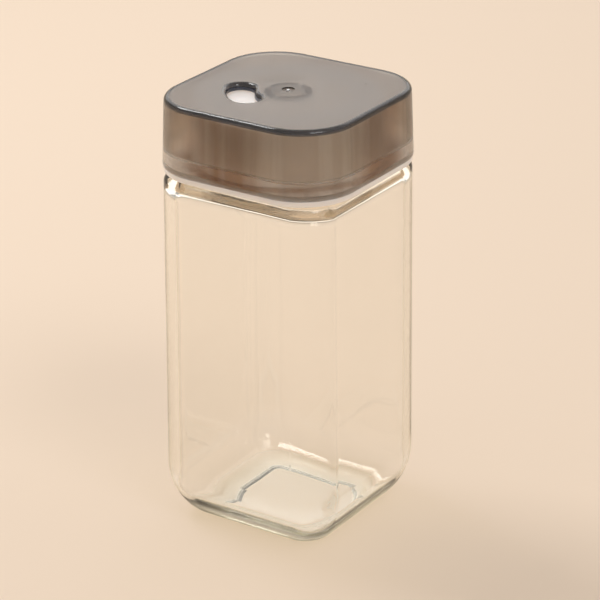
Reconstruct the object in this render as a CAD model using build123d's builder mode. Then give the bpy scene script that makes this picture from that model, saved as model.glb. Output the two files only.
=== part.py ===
from build123d import *
import os
from math import cos, radians, sin, tan

# Spice jar with a push-on selector cap. The jar stands on z = 0, its axis is +Z and its
# four sides face along X and Y. A dial with one window turns over a plate with four stations.

# Overall sizes
total_height = 128.3
cap_height = 20.0
collar_height = 5.15
dial_gap = 0.25
match = 0.01

# Glass jar, widest above its heel: the cap, the neck and all that sits in them follow its width
jar_side = 57.0
jar_corner = 10.0
jar_draft = 0.5
glass_wall = 2.6
room_corner = 8.2
floor_thick = 3.8
shoulder_round = 3.0
ceiling_thick = 3.2
ceiling_land = 0.4
shoulder_gap = 0.2
heel_inset = 11.0
heel_rise = 17.0
heel_steps = 6
foot_corner = 5.3
inner_heel = 8.0
neck_step = 1.6
neck_wall = 2.4
neck_root = 1.0
rim_round = 0.8
bead_radius = 1.2
bead_drop = 7.0
mouth_round = 1.5

# Underside of the jar: a shallow step, a square push-up with sloped sides and a row of grooves
bearing_width = 2.5
step_corner = 4.0
step_depth = 0.4
ledge_width = 0.7
push_corner = 3.0
push_depth = 1.8
push_slope = 2.4
push_top_corner = 1.5
groove_count = 6
groove_pitch = 2.5
groove_length = 2.6
groove_radius = 0.45
groove_shift = 4.5

# Smoke-coloured shells: dial cover and collar share one drafted square outline
cap_overhang = 1.5
corner_gain = 6.8
cap_draft = 2.2
cap_wall = 1.5
cap_edge_round = 1.5
top_plate = 1.4
lip_round = 0.3
collar_floor = 1.2
collar_fit = 0.05

# Inner cap: round plate and skirt on a square flange
plate_gap = 1.0
plate_thick = 1.4
plate_round = 0.8
skirt_clear = 1.0
skirt_wall = 1.4
flange_step = 0.3
flange_thick = 1.7
flange_round = 0.4

# Plug of the inner cap and the sealing ring on it
plug_room = 1.8
plug_wall = 1.2
plug_depth = 8.0
plug_bead = 0.5
plug_bead_height = 0.8
seal_flange = 1.6
seal_inset = 0.55
seal_sleeve = 0.8
seal_fit = 0.05
fin_height = 1.0
fin_count = 2
rub_clearance = 0.1
seat_gap = 0.15

# Snap hub of the dial: a split ring whose hooks grip under the selector plate
hub_radius = 6.6
hub_wall = 1.8
hub_slot = 1.6
hub_slots = 4
hub_clearance = 0.08
hook_reach = 0.55
hook_height = 1.05
hook_chamfer = 0.4
hook_gap = 0.15
dimple_radius = 1.8
dimple_depth = 0.4
gate_radius = 0.55
gate_height = 0.3
gate_round = 0.25

# Stations: window and openings lie on one circle between hub and plug, a quarter turn apart
stations = 4
blank_angle = 225.0
hub_land = 3.4
plug_land = 1.2
slot_angle = 37.0
shake_radius = 2.0
shake_spacing = 6.7
fine_count = 6
fine_share = 0.22
window_margin = 0.7
window_round = 1.4
window_lip = 1.0
lip_gap = 0.25

# Click stops between dial and selector plate
click_inset = 4.4
click_ball = 1.0
click_height = 0.5

# Widths that follow from the sizes above, from the foot outwards and up
foot_side = jar_side - 2 * heel_inset
step_side = foot_side - 2 * bearing_width
push_side = step_side - 2 * ledge_width
push_top_side = push_side - 2 * push_slope
groove_row = (foot_side - bearing_width) / 2
cap_side = jar_side + 2 * cap_overhang
cap_corner = jar_corner + corner_gain
flange_side = cap_side - 2 * flange_step
flange_corner = cap_corner - flange_step
shoulder_side = jar_side - 2 * (total_height - heel_rise) * tan(radians(jar_draft))
neck_radius = shoulder_side / 2 - shoulder_round - neck_step
mouth_radius = neck_radius - neck_wall
inner_shoulder = shoulder_side / 2 - glass_wall - mouth_radius - ceiling_land
skirt_radius = neck_radius + bead_radius + skirt_clear + skirt_wall
plug_radius = mouth_radius - plug_room
seal_bore = plug_radius + seal_fit
click_circle = skirt_radius - click_inset

# Openings lie between the hub's hole and the bore of the plug, with a land at either side
hub_hole = hub_radius + hub_clearance
pour_width = plug_radius - plug_wall - plug_land - hub_hole - hub_land
station_radius = hub_hole + hub_land + pour_width / 2
window_width = pour_width + 2 * window_margin
fine_radius = fine_share * window_width / 2
fine_pitch = window_width / 2 - fine_radius
shake_angle = blank_angle - 360 / stations * 2
fine_angle = blank_angle + 360 / stations
pour_angle = blank_angle - 360 / stations

# Levels that follow from the sizes above
collar_base = total_height - cap_height
collar_top = collar_base + collar_height
seam = collar_top + dial_gap
dial_height = total_height - seam
dial_underside = total_height - top_plate
plate_top = dial_underside - plate_gap
plate_underside = plate_top - plate_thick
flange_underside = collar_base - flange_thick
shoulder_top = flange_underside - shoulder_gap
neck_top = plate_underside - seal_flange - seat_gap
ceiling = shoulder_top - ceiling_thick
hook_top = plate_underside - hook_gap
hub_end = hook_top - hook_height
plug_end = plate_underside - plug_depth


def drafted(size, level):
    """Width of the smoke-coloured shells at a level, where size is the width at their foot."""
    return size - 2 * (level - collar_base) * tan(radians(cap_draft))


def drafted_corner(radius, level):
    """Corner radius that goes with drafted()."""
    return radius - (level - collar_base) * tan(radians(cap_draft))


def station(angle):
    """A place on the station circle, turned so that its X axis points away from the jar's axis."""
    return PolarLocations(station_radius, 1, start_angle=angle)


def arc_slot(angle, width):
    """An opening with round ends that follows the station circle, centred at that angle."""
    start = angle - slot_angle / 2
    path = Edge.make_circle(station_radius, start_angle=start, end_angle=start + slot_angle)
    return SlotArc(path, width)


os.makedirs("parts", exist_ok=True)

# Room inside the jar: square with a rounded floor and shoulder, open at a round mouth
with BuildPart() as jar_room:
    with BuildSketch(Plane.XY.offset(floor_thick)):
        RectangleRounded(jar_side - 2 * glass_wall, jar_side - 2 * glass_wall, room_corner)
    extrude(amount=ceiling - floor_thick, taper=jar_draft)
    fillet(jar_room.faces().sort_by(Axis.Z)[0].edges(), radius=inner_heel)
    fillet(jar_room.faces().sort_by(Axis.Z)[-1].edges(), radius=inner_shoulder)
    with BuildSketch(Plane.XY.offset(ceiling)):
        Circle(mouth_radius)
    extrude(amount=neck_top - ceiling)
    mouth_edges = jar_room.edges().filter_by(GeomType.CIRCLE).filter_by(
        lambda edge: abs(edge.radius - mouth_radius) < match
    )
    fillet(mouth_edges.group_by(Axis.Z)[0], radius=mouth_round)

# Glass jar: a lofted elliptical heel, sides that lean in, a round shoulder and a round neck
with BuildPart() as glass_jar:
    for step in range(heel_steps + 1):
        turn = radians(90 * (1 - step / heel_steps))
        inset = heel_inset * (1 - cos(turn))
        across = jar_side - 2 * inset
        corner = jar_corner - (jar_corner - foot_corner) * inset / heel_inset
        with BuildSketch(Plane.XY.offset(heel_rise * (1 - sin(turn)))):
            RectangleRounded(across, across, corner)
    loft()
    with BuildSketch(Plane.XY.offset(heel_rise)):
        RectangleRounded(jar_side, jar_side, jar_corner)
    extrude(amount=shoulder_top - heel_rise, taper=jar_draft)
    fillet(glass_jar.faces().sort_by(Axis.Z)[-1].edges(), radius=shoulder_round)
    with BuildSketch(Plane.XY.offset(shoulder_top)):
        Circle(neck_radius)
    extrude(amount=neck_top - shoulder_top)
    neck_edges = glass_jar.edges().filter_by(GeomType.CIRCLE).filter_by(
        lambda edge: abs(edge.radius - neck_radius) < match
    )
    fillet(neck_edges.group_by(Axis.Z)[0], radius=neck_root)
    # Transfer bead round the neck
    with Locations((0, 0, neck_top - bead_drop)):
        Torus(neck_radius, bead_radius)
    add(jar_room.part, mode=Mode.SUBTRACT)
    fillet(
        glass_jar.faces().sort_by(Axis.Z)[-1].edges().filter_by(GeomType.CIRCLE),
        radius=rim_round,
    )
    # Underside: shallow step, then the square push-up
    with BuildSketch(Plane.XY):
        RectangleRounded(step_side, step_side, step_corner)
    extrude(amount=step_depth, mode=Mode.SUBTRACT)
    with BuildSketch(Plane.XY.offset(step_depth)):
        RectangleRounded(push_side, push_side, push_corner)
    with BuildSketch(Plane.XY.offset(push_depth)):
        RectangleRounded(push_top_side, push_top_side, push_top_corner)
    loft(mode=Mode.SUBTRACT)
    # Grooves across the bearing ring, on one side only
    with Locations(Location((groove_row, -groove_shift, 0), (0, 90, 0))):
        with GridLocations(groove_pitch, groove_pitch, 1, groove_count):
            Cylinder(groove_radius, groove_length, mode=Mode.SUBTRACT)

# Inner cap: selector plate, round skirt, square flange and plug in one moulding
with BuildPart() as inner_cap:
    with BuildSketch(Plane.XY.offset(flange_underside)):
        RectangleRounded(flange_side, flange_side, flange_corner)
    extrude(amount=flange_thick)
    fillet(
        inner_cap.faces().sort_by(Axis.Z)[0].edges(), radius=flange_round
    )
    with BuildSketch(Plane.XY.offset(flange_underside)):
        Circle(skirt_radius)
    extrude(amount=plate_top - flange_underside)
    fillet(inner_cap.faces().sort_by(Axis.Z)[-1].edges(), radius=plate_round)
    with BuildSketch(Plane.XY.offset(flange_underside)):
        Circle(skirt_radius - skirt_wall)
    extrude(amount=plate_underside - flange_underside, mode=Mode.SUBTRACT)
    # Plug with a bead at its end that holds the sealing ring
    with BuildSketch(Plane.XY.offset(plug_end)):
        Circle(plug_radius)
        Circle(plug_radius - plug_wall, mode=Mode.SUBTRACT)
    extrude(amount=plug_depth)
    with BuildSketch(Plane.XY.offset(plug_end)):
        Circle(plug_radius + plug_bead)
        Circle(plug_radius - plug_wall, mode=Mode.SUBTRACT)
    extrude(amount=plug_bead_height)
    # Hole for the hub, then the openings of three stations: pour, shake and fine
    with Locations((0, 0, plate_top)):
        Hole(hub_hole, depth=plate_thick)
    with BuildSketch(Plane.XY.offset(plate_top)):
        arc_slot(pour_angle, pour_width)
        with station(shake_angle):
            with GridLocations(shake_spacing, shake_spacing, 1, 2):
                Circle(shake_radius)
        with station(fine_angle):
            Circle(fine_radius)
            with PolarLocations(fine_pitch, fine_count):
                Circle(fine_radius)
    extrude(amount=-plate_thick, mode=Mode.SUBTRACT)
    # Click dimples, one a station
    with PolarLocations(click_circle, stations, start_angle=blank_angle):
        with Locations((0, 0, plate_top + click_ball - click_height)):
            Sphere(click_ball, mode=Mode.SUBTRACT)

# Sealing ring: a soft sleeve on the plug with a flange over the rim and fins in the mouth
fin_reach = mouth_radius - rub_clearance
fin_pitch = (plug_depth - seal_flange - plug_bead_height) / (fin_count + 1)
with BuildPart() as sealing_ring:
    with BuildSketch(Plane.XY.offset(plug_end + plug_bead_height)):
        Circle(seal_bore + seal_sleeve)
        Circle(seal_bore, mode=Mode.SUBTRACT)
    extrude(amount=plug_depth - plug_bead_height)
    with BuildSketch(Plane.XY.offset(plate_underside - seal_flange)):
        Circle(neck_radius - seal_inset)
        Circle(seal_bore, mode=Mode.SUBTRACT)
    extrude(amount=seal_flange)
    for fin in range(fin_count):
        with BuildSketch(Plane.XY.offset(plug_end + plug_bead_height + fin_pitch * (fin + 1))):
            Circle(fin_reach)
            Circle(seal_bore, mode=Mode.SUBTRACT)
        extrude(amount=fin_height / 2, both=True)

# Collar: square ring that closes the cap below the dial
with BuildPart() as collar_ring:
    with BuildSketch(Plane.XY.offset(collar_base)):
        RectangleRounded(cap_side, cap_side, cap_corner)
    extrude(amount=collar_top - collar_base, taper=cap_draft)
    fillet(collar_ring.faces().sort_by(Axis.Z)[-1].edges(), radius=lip_round)
    fillet(collar_ring.faces().sort_by(Axis.Z)[0].edges(), radius=lip_round)
    with BuildSketch(Plane.XY.offset(collar_base + collar_floor)):
        RectangleRounded(
            drafted(cap_side, collar_base + collar_floor) - 2 * cap_wall,
            drafted(cap_side, collar_base + collar_floor) - 2 * cap_wall,
            drafted_corner(cap_corner, collar_base + collar_floor) - cap_wall,
        )
    extrude(amount=collar_top - collar_base, taper=cap_draft, mode=Mode.SUBTRACT)
    with BuildSketch(Plane.XY.offset(collar_base)):
        Circle(skirt_radius + collar_fit)
    extrude(amount=collar_floor, mode=Mode.SUBTRACT)

# Dial cover: drafted square shell with one window and a split snap hub
with BuildPart() as dial_cover:
    with BuildSketch(Plane.XY.offset(seam)):
        RectangleRounded(
            drafted(cap_side, seam), drafted(cap_side, seam), drafted_corner(cap_corner, seam)
        )
    extrude(amount=dial_height, taper=cap_draft)
    fillet(dial_cover.faces().sort_by(Axis.Z)[-1].edges(), radius=cap_edge_round)
    fillet(dial_cover.faces().sort_by(Axis.Z)[0].edges(), radius=lip_round)
    with BuildSketch(Plane.XY.offset(seam)):
        RectangleRounded(
            drafted(cap_side, seam) - 2 * cap_wall,
            drafted(cap_side, seam) - 2 * cap_wall,
            drafted_corner(cap_corner, seam) - cap_wall,
        )
    extrude(amount=dial_underside - seam, taper=cap_draft, mode=Mode.SUBTRACT)
    # Window: a lip below that nearly meets the selector plate, and a broad soft edge on top
    with BuildSketch(Plane.XY.offset(dial_underside)):
        arc_slot(blank_angle, window_width + 2 * window_lip)
    extrude(amount=lip_gap - plate_gap)
    with BuildSketch(Plane.XY.offset(total_height)):
        arc_slot(blank_angle, window_width)
    extrude(amount=plate_top + lip_gap - total_height, mode=Mode.SUBTRACT)
    window_edges = dial_cover.faces().sort_by(Axis.Z)[-1].inner_wires().edges()
    fillet(window_edges, radius=window_round)
    # Hub ring with hooks, split by four slots
    with BuildSketch(Plane.XY.offset(hub_end)):
        Circle(hub_radius)
        Circle(hub_radius - hub_wall, mode=Mode.SUBTRACT)
    extrude(amount=dial_underside - hub_end)
    with BuildSketch(Plane.XY.offset(hub_end)):
        Circle(hub_radius + hook_reach)
        Circle(hub_radius - hub_wall, mode=Mode.SUBTRACT)
    extrude(amount=hook_height)
    hook_edges = dial_cover.edges().filter_by(GeomType.CIRCLE).filter_by(
        lambda edge: abs(edge.radius - hub_radius - hook_reach) < match
    )
    chamfer(hook_edges.sort_by(Axis.Z)[0], length=hook_chamfer)
    with BuildSketch(Plane.XY.offset(hub_end)):
        with PolarLocations(hub_radius, hub_slots):
            Rectangle(hub_radius, hub_slot)
    extrude(amount=dial_underside - hub_end, mode=Mode.SUBTRACT)
    # Click nub on the underside
    with PolarLocations(click_circle, 1, start_angle=shake_angle):
        with Locations((0, 0, dial_underside + click_ball - click_height)):
            Sphere(click_ball)
    # Moulding gate in a shallow dimple at the centre of the top
    with BuildSketch(Plane.XY.offset(total_height)):
        Circle(dimple_radius)
    extrude(amount=-dimple_depth, mode=Mode.SUBTRACT)
    with BuildSketch(Plane.XY.offset(total_height - dimple_depth)):
        Circle(gate_radius)
    extrude(amount=gate_height)
    gate_edges = dial_cover.edges().filter_by(GeomType.CIRCLE).filter_by(
        lambda edge: abs(edge.radius - gate_radius) < match
    )
    fillet(gate_edges.sort_by(Axis.Z)[-1], radius=gate_round)

pieces = {
    "glass_jar": glass_jar,
    "inner_cap": inner_cap,
    "sealing_ring": sealing_ring,
    "collar_ring": collar_ring,
    "dial_cover": dial_cover,
}
for name, piece in pieces.items():
    piece.part.label = name
    export_step(piece.part, f"parts/{name}.step")
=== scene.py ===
import math

import bpy
from mathutils import Matrix, Vector

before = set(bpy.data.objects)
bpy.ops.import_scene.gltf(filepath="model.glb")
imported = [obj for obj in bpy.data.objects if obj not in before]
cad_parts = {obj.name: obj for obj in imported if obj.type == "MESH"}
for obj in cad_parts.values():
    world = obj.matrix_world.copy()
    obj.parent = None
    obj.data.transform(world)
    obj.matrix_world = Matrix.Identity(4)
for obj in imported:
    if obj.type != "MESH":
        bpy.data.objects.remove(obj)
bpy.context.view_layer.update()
MM = 0.001

# The photograph's camera: sensor, lens, distance and height in millimetres, angles in degrees,
# shift as a share of the frame, clip range in metres
SENSOR = 36.0
LENS = 159.454
CAMERA_DISTANCE = 762.0
CAMERA_AZIMUTH = 33.66
CAMERA_ELEVATION = 23.91
CAMERA_ROLL = -0.39
TARGET_HEIGHT = 60.0
SHIFT = (0.01705, 0.02495)
CLIP_RANGE = (0.05, 20.0)

# Soft boxes round the table: azimuth and elevation in degrees as for the camera, distance, width
# and height in millimetres, power in watts
KEY_LAMP = (-96.0, 54.0, 900.0, 300.0, 300.0, 2.8)
FILL_LAMP = (67.0, 51.0, 900.0, 300.0, 300.0, 1.4)
BACK_PANEL = (213.0, 34.0, 1300.0, 1700.0, 900.0, 5.0)

# Even light of the room: its colour at the horizon, and overhead from the height ROOM_RISE of a
# unit vector upwards
ROOM_LOW = (0.78, 0.66, 0.52)
ROOM_HIGH = (0.49, 0.49, 0.5)
ROOM_RISE = 0.5

# Table top: a round plate, its gap under the jar in millimetres and its radius in metres
FLOOR_COLOUR = (0.85, 0.685, 0.53)
FLOOR_ROUGHNESS = 0.9
FLOOR_GAP = 0.05
FLOOR_RADIUS = 6.0
FLOOR_CORNERS = 96

# In the finishes below, heights above the table and distances are in millimetres. A pair of them
# is the run over which one look changes into another. A shade is the share of red, green and blue
# that is held back, a stock colour is what the light keeps on its way through, and a tint is what
# the pale shadow keeps.

# Clear glass: its stock, its waves with their scale a metre and their height in millimetres, and
# the painted shade along its outline, which stands in for the dark room seen in its edges and grows
# over a run of the Layer Weight's Facing value
GLASS_IOR = 1.52
GLASS_STOCK = (0.56, 0.46, 0.05)
GLASS_DENSITY = 17.0
GLASS_TINT = (0.96, 0.96, 0.95)
WAVE_SCALE = (90.0, 90.0, 45.0)
WAVE_DETAIL = 1.0
WAVE_ROUGHNESS = 0.4
WAVE_HEIGHT = 0.06
OUTLINE_BLEND = 0.5
OUTLINE_RUN = (0.62, 1.0)
OUTLINE_PAINTED_SHADE = (0.6, 0.62, 0.85)

# Its stippled bearing ring and its heel: a run of height and the roughness at its start and end.
# The heel's counts only past the foot, from a run of distance from the axis outwards.
STIPPLE = (1.0, 1.4, 0.4, 0.0)
HEEL = (1.5, 5.0, 0.3, 0.0)
FOOT_REACH = (17.0, 18.0)

# Its shoulder, between two runs of height, duller and with a painted warm shade that stands in for
# the cap seen in its bend
SHOULDER_FOOT = (102.2, 103.2)
SHOULDER_TOP = (106.5, 107.0)
SHOULDER_ROUGHNESS = 0.1
SHOULDER_PAINTED_SHADE = (0.0, 0.08, 0.18)

# Smoke plastic: its stock, and for the collar and the dial each its density and the painted shade
# of its sides where the inner cap's skirt behind them comes close and leaves little room for light
SMOKE_IOR = 1.49
SMOKE_STOCK = (0.3, 0.17, 0.0)
SMOKE_TINT = (0.95, 0.95, 0.95)
COLLAR_DENSITY = 80.0
COLLAR_SKIRT_PAINTED_SHADE = 0.6
DIAL_DENSITY = 340.0
DIAL_SKIRT_PAINTED_SHADE = 0.36

# Where the dial's polished edges and satin top are: above the run EDGE_LEVELS, and within the run
# WINDOW_REACH of the window where that is above WINDOW_LEVELS. Faces that point down, whose
# normal's Z is below DOWNWARD, are neither. Those whose normal's Z is past LEVEL are the top, and
# so is the crown of the click nub, which comes 0.1 mm through it.
EDGE_LEVELS = (126.7, 126.9)
WINDOW_PLACE = (-9.3, -9.3, 128.3)
WINDOW_REACH = (11.5, 12.5)
WINDOW_LEVELS = (125.9, 126.0)
DOWNWARD = (-0.5, -0.2)
LEVEL = (0.985, 0.999)
NUB_PLACE = (15.65, 15.65, 128.4)
NUB_REACH = (0.6, 0.7)

# Roughness and painted shade of top, edges and sides. The top's painted shade keeps it darker and
# greyer than the same plastic on the sides, and the edges' painted shade darkens the light that
# comes through them. The sides' shares of red, green and blue spread out the painted shade of the
# bands, upright streaks that stand in for reflections of the parts behind, and the painted shade
# where the skirt behind comes close, which grows nearer the axis over the run SKIRT_REACH. The
# bands are a noise pattern, with its scale a metre.
TOP_ROUGHNESS = 0.36
EDGE_ROUGHNESS = 0.1
SIDE_ROUGHNESS = 0.25
TOP_PAINTED_SHADE = (0.15, 0.12, 0.04)
EDGE_PAINTED_SHADE = (0.92, 0.9, 0.84)
SIDE_PAINTED_SHADE = (0.8, 1.05, 1.2)
BAND_PAINTED_SHADE = 0.15
BAND_SCALE = (170.0, 170.0, 4.0)
BAND_DETAIL = 2.0
BAND_ROUGHNESS = 0.55
BAND_RUN = (0.44, 0.56)
SKIRT_REACH = (29.4, 31.5)

# Stub of the moulding gate on the dial's top: place, reach, and the colour and roughness of the
# pale glint painted on it
GATE_PLACE = (0.0, 0.0, 128.2)
GATE_REACH = 0.56
GATE_GLINT_COLOUR = (0.85, 0.85, 0.84)
GATE_ROUGHNESS = 0.4

# Milky plate and sealing ring: colour and roughness, and how far red, green and blue go into the
# plate, as shares of its scatter in millimetres
PLATE_COLOUR = (0.84, 0.78, 0.75)
PLATE_ROUGHNESS = 0.35
PLATE_REACH = (1.0, 0.9, 0.8)
PLATE_SCATTER = 4.0
SEAL_COLOUR = (0.84, 0.83, 0.81)
SEAL_ROUGHNESS = 0.6

CHANNELS = ("Red", "Green", "Blue")


def direction(azimuth, elevation):
    """Unit vector from the jar towards a place at that azimuth and elevation."""
    a, e = math.radians(azimuth), math.radians(elevation)
    return Vector((math.sin(a) * math.cos(e), -math.cos(a) * math.cos(e), math.sin(e)))


# Nodes


def add_node(tree, kind, **values):
    """A new node, with its properties or named inputs set."""
    node = tree.nodes.new(kind)
    for name, value in values.items():
        if hasattr(node, name):
            setattr(node, name, value)
        else:
            node.inputs[name.replace("_", " ")].default_value = value
    return node


def calculate(tree, operation, *values):
    """The result of a Math node, whose inputs are numbers or other nodes' outputs."""
    node = add_node(tree, "ShaderNodeMath", operation=operation)
    for socket, value in zip(node.inputs, values):
        if isinstance(value, (int, float)):
            socket.default_value = value
        else:
            tree.links.new(value, socket)
    return node.outputs[0]


def ramp(tree, value, low, high, start, end):
    """A value's run from low to high, mapped to the run from start to end."""
    node = add_node(tree, "ShaderNodeMapRange")
    for name, number in zip(("From Min", "From Max", "To Min", "To Max"), (low, high, start, end)):
        node.inputs[name].default_value = number
    tree.links.new(value, node.inputs["Value"])
    return node.outputs["Result"]


def fade(tree, distance, low, high, start, end):
    """A ramp over a distance whose low and high end are given in millimetres."""
    return ramp(tree, distance, low * MM, high * MM, start, end)


def split_axes(tree, vector):
    """A vector's three axes, as outputs X, Y and Z."""
    node = add_node(tree, "ShaderNodeSeparateXYZ")
    tree.links.new(vector, node.inputs["Vector"])
    return node.outputs


def distance_from(tree, position, place):
    """How far the surface is from a place in millimetres."""
    node = add_node(tree, "ShaderNodeVectorMath", operation="DISTANCE")
    node.inputs[1].default_value = tuple(value * MM for value in place)
    tree.links.new(position, node.inputs[0])
    return node.outputs["Value"]


def distance_from_axis(tree, position):
    """How far the surface is from the jar's upright axis."""
    level = add_node(tree, "ShaderNodeVectorMath", operation="MULTIPLY")
    level.inputs[1].default_value = (1.0, 1.0, 0.0)
    tree.links.new(position, level.inputs[0])
    return distance_from(tree, level.outputs["Vector"], (0.0, 0.0, 0.0))


def add_noise(tree, position, scale, detail, roughness):
    """The value of a noise pattern that is stretched by a Mapping node."""
    mapping = add_node(tree, "ShaderNodeMapping")
    mapping.inputs["Scale"].default_value = scale
    tree.links.new(position, mapping.inputs["Vector"])
    noise = add_node(tree, "ShaderNodeTexNoise", Scale=1.0, Detail=detail, Roughness=roughness)
    tree.links.new(mapping.outputs["Vector"], noise.inputs["Vector"])
    return noise.outputs["Fac"]


def shade(tree, *parts):
    """White, less what each part holds back, where a part is a mask and a shade."""
    colour = add_node(tree, "ShaderNodeCombineColor")
    for index, channel in enumerate(CHANNELS):
        lost = 0.0
        for mask, held in parts:
            lost = calculate(tree, "ADD", lost, calculate(tree, "MULTIPLY", mask, held[index]))
        tree.links.new(calculate(tree, "SUBTRACT", 1.0, lost), colour.inputs[channel])
    return colour.outputs["Color"]


# Materials


def new_material(name):
    """A material, its node tree, its principled shader and its output node."""
    material = bpy.data.materials.new(name)
    material.use_nodes = True
    tree = material.node_tree
    return material, tree, tree.nodes["Principled BSDF"], tree.nodes["Material Output"]


def plain_material(name, colour, roughness):
    """A material of one colour and roughness, and its principled shader."""
    material, _, shader, _ = new_material(name)
    shader.inputs["Base Color"].default_value = (*colour, 1)
    shader.inputs["Roughness"].default_value = roughness
    return material, shader


def see_through_material(name, ior):
    """A clear material, its node tree, its principled shader and its output node."""
    material, tree, shader, output = new_material(name)
    shader.inputs["IOR"].default_value = ior
    shader.inputs["Transmission Weight"].default_value = 1.0
    return material, tree, shader, output


def absorb(tree, output, colour, density):
    """Colour that the light takes on its way through the stock."""
    volume = add_node(tree, "ShaderNodeVolumeAbsorption", Density=density)
    volume.inputs["Color"].default_value = (*colour, 1)
    tree.links.new(volume.outputs[0], output.inputs["Volume"])


def let_light_through(tree, shader, output, tint):
    """Light on its way to what lies beyond passes the surface straight, with a tint, so that clear
    stock casts its pale shadow."""
    light_path = add_node(tree, "ShaderNodeLightPath")
    clear = add_node(tree, "ShaderNodeBsdfTransparent")
    clear.inputs["Color"].default_value = (*tint, 1)
    surface = shader
    for ray in ("Is Diffuse Ray", "Is Shadow Ray"):
        mix = add_node(tree, "ShaderNodeMixShader")
        tree.links.new(light_path.outputs[ray], mix.inputs["Fac"])
        tree.links.new(surface.outputs[0], mix.inputs[1])
        tree.links.new(clear.outputs[0], mix.inputs[2])
        surface = mix
    tree.links.new(surface.outputs[0], output.inputs["Surface"])


def clear_glass():
    """Pressed soda glass: clear, olive at thick edges, with painted shade along its outline for the
    dark room seen in its edges, the slow waves of a hot mould, a stippled bearing ring, and a
    duller shoulder with a painted warm shade for the cap seen in its bend."""
    material, tree, shader, output = see_through_material("clear_glass_with_painted_shade", GLASS_IOR)
    position = add_node(tree, "ShaderNodeTexCoord").outputs["Object"]
    height = split_axes(tree, position)["Z"]
    # Roughness of the underside, the heel and the shoulder
    outside = fade(tree, distance_from_axis(tree, position), *FOOT_REACH, 0.0, 1.0)
    heel = calculate(tree, "MULTIPLY", fade(tree, height, *HEEL), outside)
    roughness = calculate(tree, "MAXIMUM", fade(tree, height, *STIPPLE), heel)
    above_foot = fade(tree, height, *SHOULDER_FOOT, 0.0, 1.0)
    below_top = fade(tree, height, *SHOULDER_TOP, 1.0, 0.0)
    shoulder = calculate(tree, "MULTIPLY", above_foot, below_top)
    dull = calculate(tree, "MULTIPLY", shoulder, SHOULDER_ROUGHNESS)
    roughness = calculate(tree, "MAXIMUM", roughness, dull)
    tree.links.new(roughness, shader.inputs["Roughness"])
    # Colour: painted shade along the outline everywhere but at the shoulder, which has its own
    # painted warm shade
    outline = add_node(tree, "ShaderNodeLayerWeight", Blend=OUTLINE_BLEND)
    grazing = ramp(tree, outline.outputs["Facing"], *OUTLINE_RUN, 0.0, 1.0)
    grazing = calculate(tree, "MULTIPLY", grazing, calculate(tree, "SUBTRACT", 1.0, shoulder))
    colour = shade(tree, (grazing, OUTLINE_PAINTED_SHADE), (shoulder, SHOULDER_PAINTED_SHADE))
    tree.links.new(colour, shader.inputs["Base Color"])
    waves = add_noise(tree, position, WAVE_SCALE, WAVE_DETAIL, WAVE_ROUGHNESS)
    bump = add_node(tree, "ShaderNodeBump", Strength=1.0, Distance=WAVE_HEIGHT * MM)
    tree.links.new(waves, bump.inputs["Height"])
    tree.links.new(bump.outputs["Normal"], shader.inputs["Normal"])
    absorb(tree, output, GLASS_STOCK, GLASS_DENSITY)
    let_light_through(tree, shader, output, GLASS_TINT)
    return material


def smoke_plastic(name, density, skirt_painted_shade):
    """Smoke-tinted clear plastic: hazy sides with faint painted upright bands that stand in for
    reflections of the parts behind, painted shade where the skirt behind comes close, polished
    edges round the top and the window, and a satin top, both with painted shade."""
    material, tree, shader, output = see_through_material(name, SMOKE_IOR)
    coordinates = add_node(tree, "ShaderNodeTexCoord")
    position = coordinates.outputs["Object"]
    height = split_axes(tree, position)["Z"]
    slope = split_axes(tree, coordinates.outputs["Normal"])["Z"]
    # Masks: the polished edges, the satin top inside them and the sides below
    high = fade(tree, height, *EDGE_LEVELS, 0.0, 1.0)
    to_window = distance_from(tree, position, WINDOW_PLACE)
    near = fade(tree, to_window, *WINDOW_REACH, 1.0, 0.0)
    wall = fade(tree, height, *WINDOW_LEVELS, 0.0, 1.0)
    high = calculate(tree, "MAXIMUM", high, calculate(tree, "MULTIPLY", near, wall))
    high = calculate(tree, "MULTIPLY", high, ramp(tree, slope, *DOWNWARD, 0.0, 1.0))
    level = ramp(tree, slope, *LEVEL, 0.0, 1.0)
    to_nub = distance_from(tree, position, NUB_PLACE)
    level = calculate(tree, "MAXIMUM", level, fade(tree, to_nub, *NUB_REACH, 1.0, 0.0))
    top = calculate(tree, "MULTIPLY", high, level)
    edge = calculate(tree, "SUBTRACT", high, top)
    side = calculate(tree, "SUBTRACT", 1.0, high)
    satin = calculate(tree, "MULTIPLY", top, TOP_ROUGHNESS - SIDE_ROUGHNESS)
    polish = calculate(tree, "MULTIPLY", edge, EDGE_ROUGHNESS - SIDE_ROUGHNESS)
    roughness = calculate(tree, "ADD", calculate(tree, "ADD", satin, polish), SIDE_ROUGHNESS)
    tree.links.new(roughness, shader.inputs["Roughness"])
    # Colour: painted shade of the bands and of the skirt's nearness on the sides, and a painted
    # shade each for edges and top
    # Painted upright streaks that stand in for reflections of the parts behind
    streak_noise = add_noise(tree, position, BAND_SCALE, BAND_DETAIL, BAND_ROUGHNESS)
    bands = ramp(tree, streak_noise, *BAND_RUN, BAND_PAINTED_SHADE, 0.0)
    # Painted shade where the skirt behind comes close and leaves little room for light
    close = fade(tree, distance_from_axis(tree, position), *SKIRT_REACH, skirt_painted_shade, 0.0)
    sides = calculate(tree, "MULTIPLY", calculate(tree, "ADD", bands, close), side)
    colour = shade(tree, (sides, SIDE_PAINTED_SHADE), (edge, EDGE_PAINTED_SHADE), (top, TOP_PAINTED_SHADE))
    tree.links.new(colour, shader.inputs["Base Color"])
    absorb(tree, output, SMOKE_STOCK, density)
    let_light_through(tree, shader, output, SMOKE_TINT)
    return material


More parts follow.
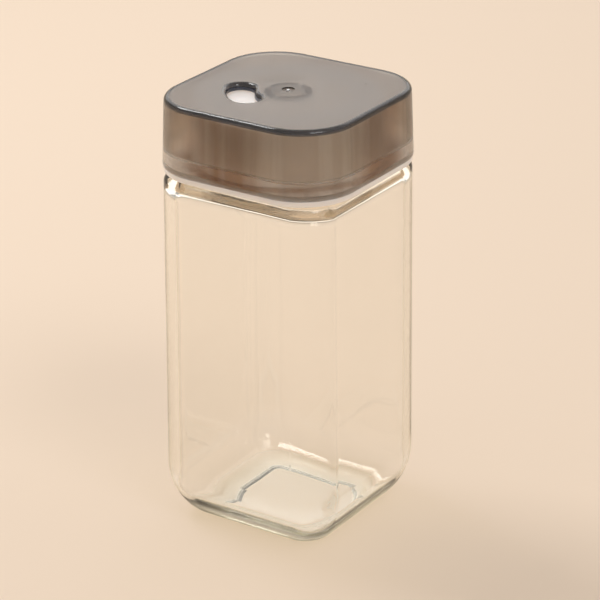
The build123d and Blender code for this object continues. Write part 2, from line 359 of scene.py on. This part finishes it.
def natural_plastic():
    """Natural polypropylene: milky, a little light goes in and comes out again."""
    material, shader = plain_material("natural_plastic_finish", PLATE_COLOUR, PLATE_ROUGHNESS)
    shader.inputs["Subsurface Weight"].default_value = 1.0
    shader.inputs["Subsurface Radius"].default_value = PLATE_REACH
    shader.inputs["Subsurface Scale"].default_value = PLATE_SCATTER * MM
    return material


def silicone():
    """Soft matt white silicone."""
    return plain_material("silicone_finish", SEAL_COLOUR, SEAL_ROUGHNESS)[0]


def finish_node(name, material):
    """Gives a CAD node one material all over."""
    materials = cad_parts[name].data.materials
    materials.clear()
    materials.append(material)


def paint_gate_glint(name):
    """The stub of the moulding gate at the centre of the dial's top, with a pale glint painted on
    it.
    """
    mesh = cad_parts[name].data
    mesh.materials.append(plain_material("gate_painted_glint", GATE_GLINT_COLOUR, GATE_ROUGHNESS)[0])
    place = Vector(GATE_PLACE) * MM
    for face in mesh.polygons:
        if (face.center - place).length < GATE_REACH * MM:
            face.material_index = 1


finish_node("glass_jar", clear_glass())
finish_node("inner_cap", natural_plastic())
finish_node("sealing_ring", silicone())
finish_node("collar_ring", smoke_plastic("collar_with_painted_shade", COLLAR_DENSITY, COLLAR_SKIRT_PAINTED_SHADE))
finish_node("dial_cover", smoke_plastic("dial_with_painted_shade", DIAL_DENSITY, DIAL_SKIRT_PAINTED_SHADE))
# The gate's stub gets a pale painted glint
paint_gate_glint("dial_cover")


# Table, room, lamps and camera


def make_floor():
    """A plain pale table top."""
    bpy.ops.object.select_all(action="DESELECT")
    bpy.ops.mesh.primitive_circle_add(
        vertices=FLOOR_CORNERS, radius=FLOOR_RADIUS, fill_type="NGON",
        location=(0, 0, -FLOOR_GAP * MM)
    )
    floor = bpy.context.object
    floor.name = "floor"
    material = plain_material("pale_table", FLOOR_COLOUR, FLOOR_ROUGHNESS)[0]
    floor.data.materials.append(material)


def make_lamp(name, azimuth, elevation, distance, width, height, power):
    """A soft box that faces the jar."""
    lamp = bpy.data.lights.new(name, "AREA")
    lamp.shape = "RECTANGLE"
    lamp.size = width * MM
    lamp.size_y = height * MM
    lamp.energy = power
    holder = bpy.data.objects.new(name, lamp)
    bpy.context.scene.collection.objects.link(holder)
    towards = direction(azimuth, elevation)
    holder.location = Vector((0, 0, TARGET_HEIGHT * MM)) + towards * distance * MM
    holder.rotation_mode = "QUATERNION"
    holder.rotation_quaternion = towards.to_track_quat("Z", "Y")


def make_room():
    """Even light from all round, warmer near the table."""
    world = bpy.data.worlds.new("room")
    bpy.context.scene.world = world
    world.use_nodes = True
    tree = world.node_tree
    towards = split_axes(tree, add_node(tree, "ShaderNodeTexCoord").outputs["Generated"])
    colour = add_node(tree, "ShaderNodeMix", data_type="RGBA")
    tree.links.new(ramp(tree, towards["Z"], 0.0, ROOM_RISE, 0.0, 1.0), colour.inputs["Factor"])
    # A Mix node's colour sockets share their names with its other kinds, so they go by number
    colour.inputs[6].default_value = (*ROOM_LOW, 1)
    colour.inputs[7].default_value = (*ROOM_HIGH, 1)
    tree.links.new(colour.outputs[2], tree.nodes["Background"].inputs["Color"])


def make_camera():
    """The photograph's view."""
    data = bpy.data.cameras.new("camera")
    data.sensor_width = SENSOR
    data.lens = LENS
    data.shift_x, data.shift_y = SHIFT
    data.clip_start, data.clip_end = CLIP_RANGE
    camera = bpy.data.objects.new("camera", data)
    bpy.context.scene.collection.objects.link(camera)
    back = direction(CAMERA_AZIMUTH, CAMERA_ELEVATION)
    right = Vector((0, 0, 1)).cross(back).normalized()
    up = back.cross(right)
    roll = math.radians(CAMERA_ROLL)
    turned_right = right * math.cos(roll) + up * math.sin(roll)
    turned_up = up * math.cos(roll) - right * math.sin(roll)
    place = Vector((0, 0, TARGET_HEIGHT * MM)) + back * CAMERA_DISTANCE * MM
    turn = Matrix((turned_right, turned_up, back)).transposed()
    camera.matrix_world = Matrix.Translation(place) @ turn.to_4x4()
    bpy.context.scene.camera = camera


make_floor()
make_lamp("key", *KEY_LAMP)
make_lamp("fill", *FILL_LAMP)
make_lamp("back_panel", *BACK_PANEL)
make_room()
make_camera()
bpy.context.scene.view_settings.view_transform = "Standard"
